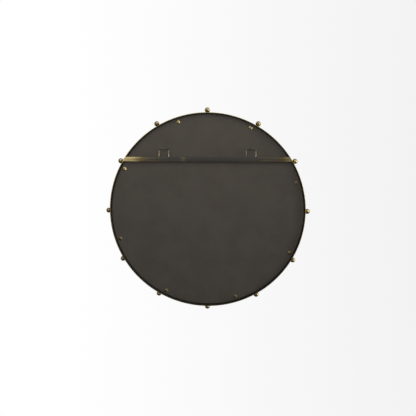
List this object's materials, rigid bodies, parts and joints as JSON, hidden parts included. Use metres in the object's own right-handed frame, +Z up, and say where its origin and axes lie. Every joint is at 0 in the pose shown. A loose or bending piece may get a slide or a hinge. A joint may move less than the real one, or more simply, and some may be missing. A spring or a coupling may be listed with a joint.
{
  "type": "wall mirror",
  "caption": "Round wall mirror in a thin brass hoop with balls round the outside, hung by wire loops on a bar across its back.",
  "frame": {"origin": "centre of the hoop on the wall plane, at the hoop's back rim", "axes": "+Y out of the back into the wall, the reflecting face looks along -Y; +Z up as it hangs; +X to the right seen from the front"},
  "size_m": [0.64, 0.038, 0.64],
  "materials": {
    "antique_brass": "dark antique brass, brushed, with a brown patina",
    "ball_brass": "antique brass, polished by hand, darker round the seat",
    "screw_brass": "brass plated, satin",
    "dark_board": "fibreboard with matt grey-brown paint",
    "black_flange": "matt black primer",
    "foam_tape": "grey closed-cell foam",
    "silvered_glass": "silvered float glass with a ground edge"
  },
  "bodies": {
    "root": {"hoop": "antique_brass", "cross_bar": "antique_brass", "hanger_loop_left": "antique_brass", "hanger_loop_right": "antique_brass", "back_board": "dark_board", "board_screws": "screw_brass", "inner_flange": "black_flange", "foam_tape": "foam_tape", "mirror_glass": "silvered_glass", "ball_01": "ball_brass", "ball_02": "ball_brass", "ball_03": "ball_brass", "ball_04": "ball_brass", "ball_05": "ball_brass", "ball_06": "ball_brass", "ball_07": "ball_brass", "ball_08": "ball_brass", "ball_09": "ball_brass", "ball_10": "ball_brass", "ball_11": "ball_brass", "ball_12": "ball_brass"}
  },
  "joints": []
}
